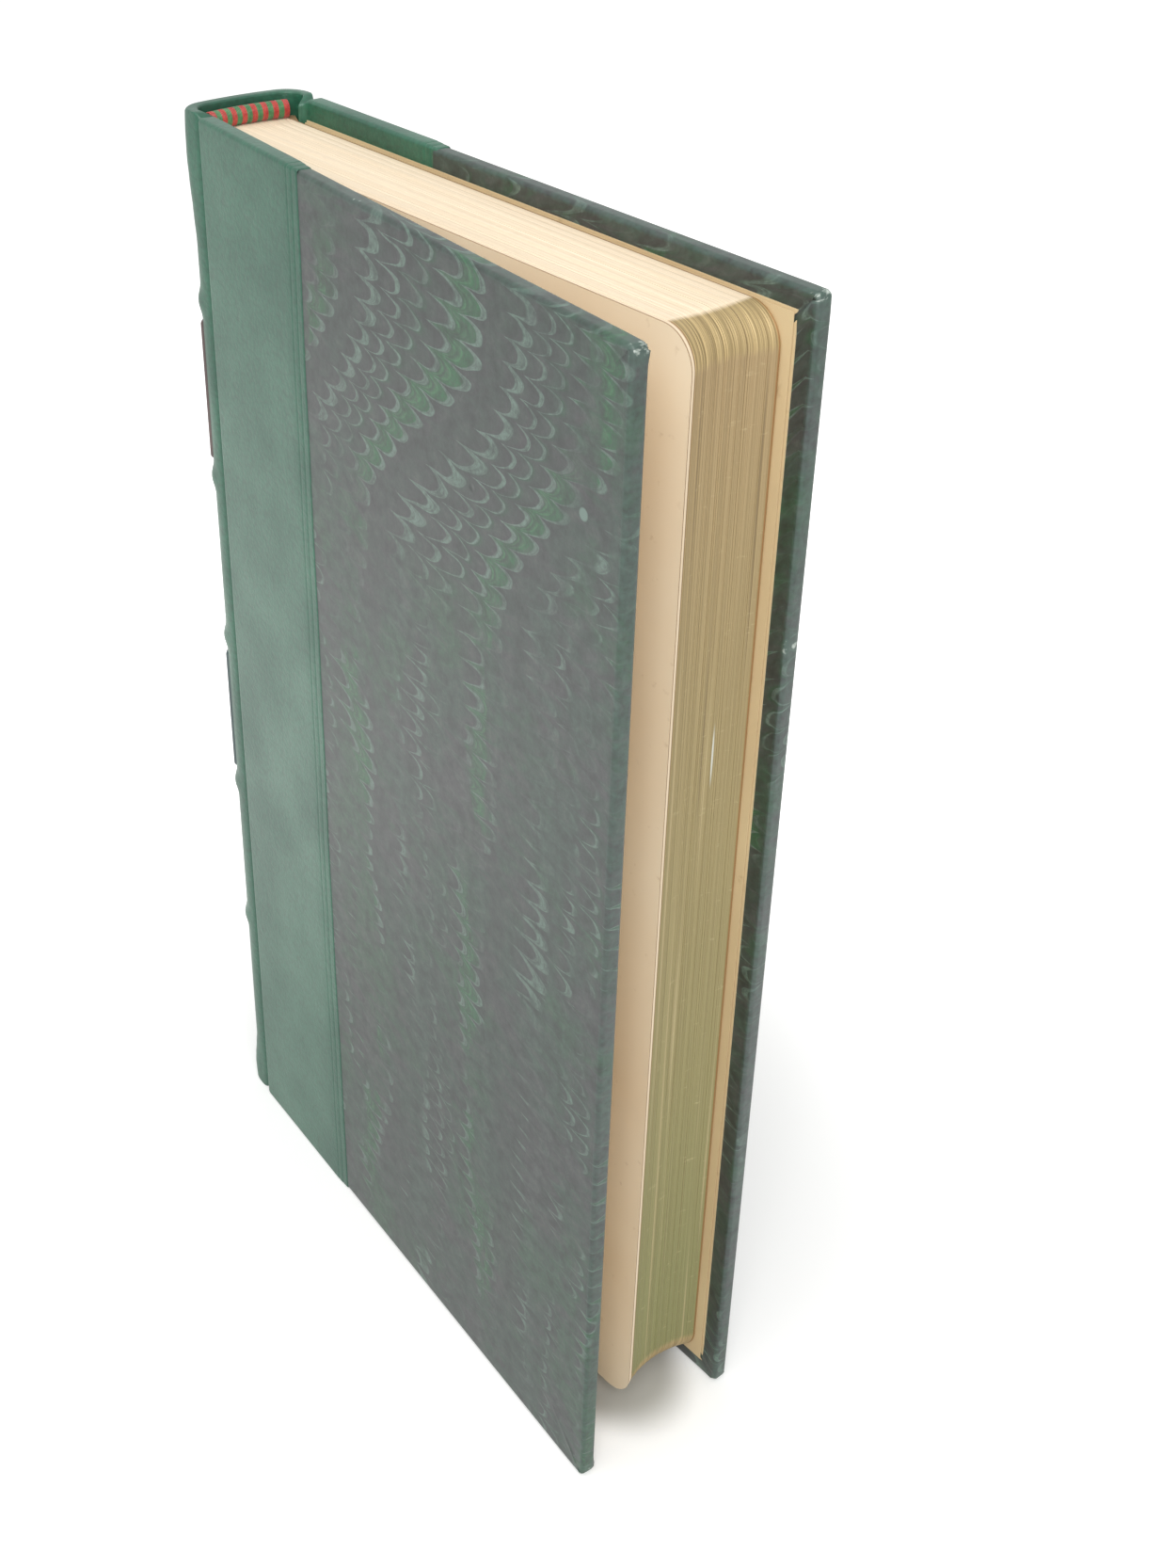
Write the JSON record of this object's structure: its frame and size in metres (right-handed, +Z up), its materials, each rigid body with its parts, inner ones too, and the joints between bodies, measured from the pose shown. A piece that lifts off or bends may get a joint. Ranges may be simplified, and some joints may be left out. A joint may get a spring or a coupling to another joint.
{
  "type": "hardback book",
  "caption": "Tall quarter-leather hardback book with raised bands, marbled paper sides, striped silk endbands and round-cornered gilt pages; both covers open.",
  "frame": {"origin": "middle of the book's footprint, on the surface that it stands on, with the front cover as far open as in the picture", "axes": "+Z up from tail to head, -X out of the spine, +X out of the fore-edge, -Y out of the front cover"},
  "size_m": [0.135, 0.0378, 0.2253],
  "materials": {
    "green_goatskin": "semi-matt dyed goatskin with a fine grain",
    "marbled_paper": "combed marbled paper with a soft polish",
    "page_paper": "cream book paper, old gold on the fore-edge",
    "endpaper": "smooth cream endpaper",
    "millboard": "dense grey-brown millboard",
    "filler_card": "thin card",
    "kraft_paper": "brown kraft paper",
    "spine_lining": "starched cotton and paper lining",
    "band_leather": "undyed leather strips",
    "endband_core": "rolled paper and vellum core",
    "red_silk": "twisted silk, sheen along the thread",
    "green_silk": "twisted silk, sheen along the thread",
    "label_red": "thin smooth goatskin, red-brown",
    "label_blue": "thin smooth goatskin, blue-black"
  },
  "bodies": {
    "text_block": {"text_block": "page_paper", "spine_lining": "spine_lining", "paper_hollow": "kraft_paper", "spine_leather": "green_goatskin", "raised_band_1": "band_leather", "raised_band_2": "band_leather", "raised_band_3": "band_leather", "raised_band_4": "band_leather", "raised_band_5": "band_leather", "head_endband_core": "endband_core", "head_endband_red_silk": "red_silk", "head_endband_green_silk": "green_silk", "tail_endband_core": "endband_core", "tail_endband_red_silk": "red_silk", "tail_endband_green_silk": "green_silk", "lower_label": "label_blue", "upper_label": "label_red"},
    "front_cover": {"front_board": "millboard", "front_leather": "green_goatskin", "front_marbled_paper": "marbled_paper", "front_infill": "filler_card", "front_endpaper": "endpaper"},
    "back_cover": {"back_board": "millboard", "back_leather": "green_goatskin", "back_marbled_paper": "marbled_paper", "back_infill": "filler_card", "back_endpaper": "endpaper"}
  },
  "joints": [
    {"name": "front_cover_hinge", "type": "hinge", "parent": "text_block", "child": "front_cover", "pos_m": [-0.05905, -0.00694, 0.1125], "axis": [0, 0, -1], "range_deg": [-5.6, 164.4]},
    {"name": "back_cover_hinge", "type": "hinge", "parent": "text_block", "child": "back_cover", "pos_m": [-0.05905, 0.01886, 0.1125], "axis": [0, 0, 1], "range_deg": [0, 170]}
  ]
}
